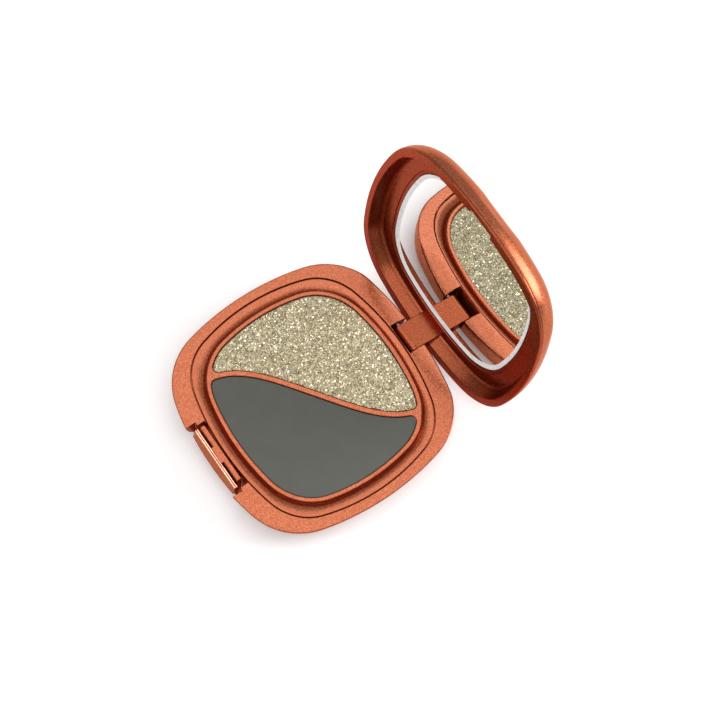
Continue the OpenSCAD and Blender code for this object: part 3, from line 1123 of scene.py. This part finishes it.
def make_lid_frame():
    """Inner moulding from its back round the rim and down the bowl to the mirror's seat"""
    wall = COVER_WALL + 0.05
    rings = []
    rows = 5
    for i in range(rows + 1):
        z = FRAME_BACK_Z - (FRAME_BACK_Z - FLANGE) * i / rows
        rings.append((case_ring(lid_inset(z) + wall), z))
    rings.append((case_ring(0.05), FLANGE - 0.02))
    rings.append((case_ring(0), FLANGE - 0.1))
    edge = 0.28
    for inward, up in rounding(edge):
        rings.append((case_ring(inward), RIM_GAP + edge - up))
    inner = 0.3
    for back, up in reversed(rounding(inner)):
        rings.append((bowl_ring(-back), RIM_GAP + inner - up))
    rows = 4
    for i in range(1, rows + 1):
        z = RIM_GAP + inner + (BOWL_DEEP - inner) * i / rows
        rings.append((bowl_ring(BOWL_DRAFT * i / rows), z))
    for along, drop in rounding(BOWL_SWEEP, 8)[1:]:
        z = RIM_GAP + BOWL_DEEP + drop * (BEZEL_Z - RIM_GAP - BOWL_DEEP) / BOWL_SWEEP
        rings.append((bowl_ring(BOWL_DRAFT + along), z))
    step = 0.16
    for out, drop in reversed(rounding(step, 4)):
        rings.append((glass_ring(-0.95 - out), BEZEL_Z + step - drop))
    rings.append((glass_ring(-0.9), BEZEL_Z + 0.22))
    gap = 0.1
    for out, drop in reversed(rounding(gap, 3)):
        rings.append((glass_ring(-gap - out), BEZEL_Z + 0.32 - drop))
    rings.append((glass_ring(-gap), GLASS_SEAT_Z))
    lid_frame = draw_stack("lid_frame_moulding", rings, stood_open)
    cut_latch_room(lid_frame)
    weld_on(lid_frame, make_lug())
    bore = round_bar(LUG_BORE, -LUG_HALF - 1, LUG_HALF + 1)
    cut_out(lid_frame, draw_stack("tool", bore, along_hinge))
    # The inner moulding takes the darker copy of the lacquer: painted shade
    return finish_piece(lid_frame, SHADED_COPPER, "lid", ["lid_frame"])


def cut_latch_room(lid_frame):
    """Cuts the nib's notch, and the room behind it where the tongue stands when the lid is shut"""

    def downwards(x, y, z):
        return stood_open(x, y, -z)

    # A lip that ended exactly in the rim's face would leave loose edges there
    mouth_z = 0.004 - RIM_GAP
    wide, front, back, deep = 4, -BOWL_HALF[1] - 1.1, -20, -2.6
    notch = box_tool(-wide, wide, front, back, deep, 1, 0.3, 0.15, mouth_z, downwards)
    cut_out(lid_frame, notch)
    room = 0.25
    wide, front, back, deep = TONGUE_HALF + room, RECESS_BACK - room, -19, -TONGUE_RISE - room
    tongue_room = box_tool(-wide, wide, front, back, deep, 1.2, 0.3, 0.04, mouth_z, downwards)
    cut_out(lid_frame, tongue_room)


def make_lug():
    """Plate that joins the lid's frame to the hinge pin, with its round end on the pin"""
    thick = LUG_THICK / 2
    axis_z = hinge_z - rim_z
    upright, steps = 1.2, 24
    top, behind = BEZEL_Z + 0.01, half - COVER_WALL - 0.05 - lid_inset(BEZEL_Z) - hinge_y

    def profile(inset):
        r = thick - inset
        points = [(-r, top - inset), (-r, axis_z + upright), (-r, axis_z)]
        points += [
            (-r * math.cos(math.pi * i / steps), axis_z - r * math.sin(math.pi * i / steps))
            for i in range(1, steps + 1)
        ]
        points.append((r, axis_z + upright))
        points.append((r, FLANGE - inset))
        points.append((behind - inset, FLANGE - inset + 0.01))
        points.append((behind - inset, top - inset))
        return points

    edge = 0.18
    rings = [(profile(b), -LUG_HALF + edge - u) for b, u in reversed(rounding(edge, 4))]
    rings += [(profile(b), LUG_HALF - edge + u) for b, u in rounding(edge, 4)]
    return draw_stack("lug", rings, lambda y, z, x: stood_open(x, hinge_y + y, z))


def make_mirror():
    """Mirror glass with a raised border that slopes down to the silvered face; the border is painted
    pale with dark streaks, a painted reflection
    """
    edge, soft = 0.05, 0.06
    back, crest = GLASS_Z + GLASS_THICK, GLASS_Z - MIRROR_RISE
    rings = [
        (glass_ring(edge), back),
        (glass_ring(0), back - edge),
        (glass_ring(0), crest + soft),
        (glass_ring(soft), crest),
        (glass_ring(MIRROR_BORDER - edge), GLASS_Z - 0.01),
        (glass_ring(MIRROR_BORDER), GLASS_Z),
    ]
    glass = draw_stack("mirror_glass_plate", rings, stood_open)
    finish_piece(glass, MIRROR, "lid", ["mirror"], angle=5, even=False)
    # The sloping border faces take the pale streaked finish: a painted reflection of the bevel's bright
    # line
    glass.data.materials.append(PAINTED_REFLECTION_GLASS)
    face_on = max(glass.data.polygons, key=lambda face: face.area).normal.copy()
    for face in glass.data.polygons:
        if 0.5 < abs(face.normal.dot(face_on)) < 0.99:
            face.material_index = 1
    return glass


make_base_shell()
make_tray()
make_powder("gold_powder_cake", GOLD_RING, GLITTER, "gold_powder")
make_powder("grey_powder_cake", GREY_RING, GREY, "grey_powder")
make_flakes()
make_latch_tongue()
make_hinge_pin()
make_label()
make_lid_frame()
make_lid_cover()
make_mirror()

for node, material in (
    ("gold_pan", PAN_METAL),
    ("grey_pan", PAN_METAL),
    ("gold_pan_glue", GLUE),
    ("grey_pan_glue", GLUE),
    ("mirror_tape", TAPE),
):
    carried = frame["nodes"][node]
    carried.data.materials.clear()
    carried.data.materials.append(material)


# ---- floor, light and camera ----


def make_floor():
    """Wide floor just below the case"""
    let_go()
    bpy.ops.mesh.primitive_plane_add(size=8, location=(0, 0, -0.0002))
    floor = bpy.context.object
    floor.name = "floor"
    floor.data.materials.append(floor_paint())


def hang_light(name, towards, distance, size, power):
    """A square soft light that hangs in the given direction and faces the compact"""
    lamp = bpy.data.lights.new(name, "AREA")
    lamp.shape = "SQUARE"
    lamp.size = size
    lamp.energy = power
    light = bpy.data.objects.new(name, lamp)
    bpy.context.scene.collection.objects.link(light)
    out = Vector(towards).normalized()
    light.location = out * distance + Vector((0, 0, 0.02))
    light.rotation_mode = "QUATERNION"
    light.rotation_quaternion = out.to_track_quat("Z", "Y")


def set_sky(brightness):
    """Even white light from all round"""
    world = bpy.data.worlds.new("studio_white")
    world.use_nodes = True
    backdrop = world.node_tree.nodes["Background"]
    backdrop.inputs["Color"].default_value = (1, 1, 1, 1)
    backdrop.inputs["Strength"].default_value = brightness
    bpy.context.scene.world = world


def set_camera():
    """The camera looks down over the front right corner, turned a little clockwise"""
    place = Vector((0.125284, -0.101295, 0.526481))
    aim = Vector((0.001550, 0.012199, 0.020))
    roll = math.radians(8.296)
    lens = bpy.data.cameras.new("camera")
    lens.lens = 111.68
    lens.sensor_width = 36
    lens.clip_start, lens.clip_end = 0.01, 20
    camera = bpy.data.objects.new("camera", lens)
    bpy.context.scene.collection.objects.link(camera)
    camera.location = place
    camera.rotation_mode = "QUATERNION"
    look = (aim - place).to_track_quat("-Z", "Y").to_matrix()
    camera.rotation_quaternion = (look @ Matrix.Rotation(roll, 3, "Z")).to_quaternion()
    bpy.context.scene.camera = camera


make_floor()
hang_light("main_softbox", (-0.06, -0.02, 1.0), 1.0, 1.1, 5.8)
hang_light("rear_softbox", (0.3, 0.85, 0.42), 0.9, 0.5, 6.5)
hang_light("front_strip", (-0.25, -0.62, 0.74), 0.9, 0.2, 0.5)
set_sky(0.55)
set_camera()
bpy.context.scene.view_settings.view_transform = "Standard"
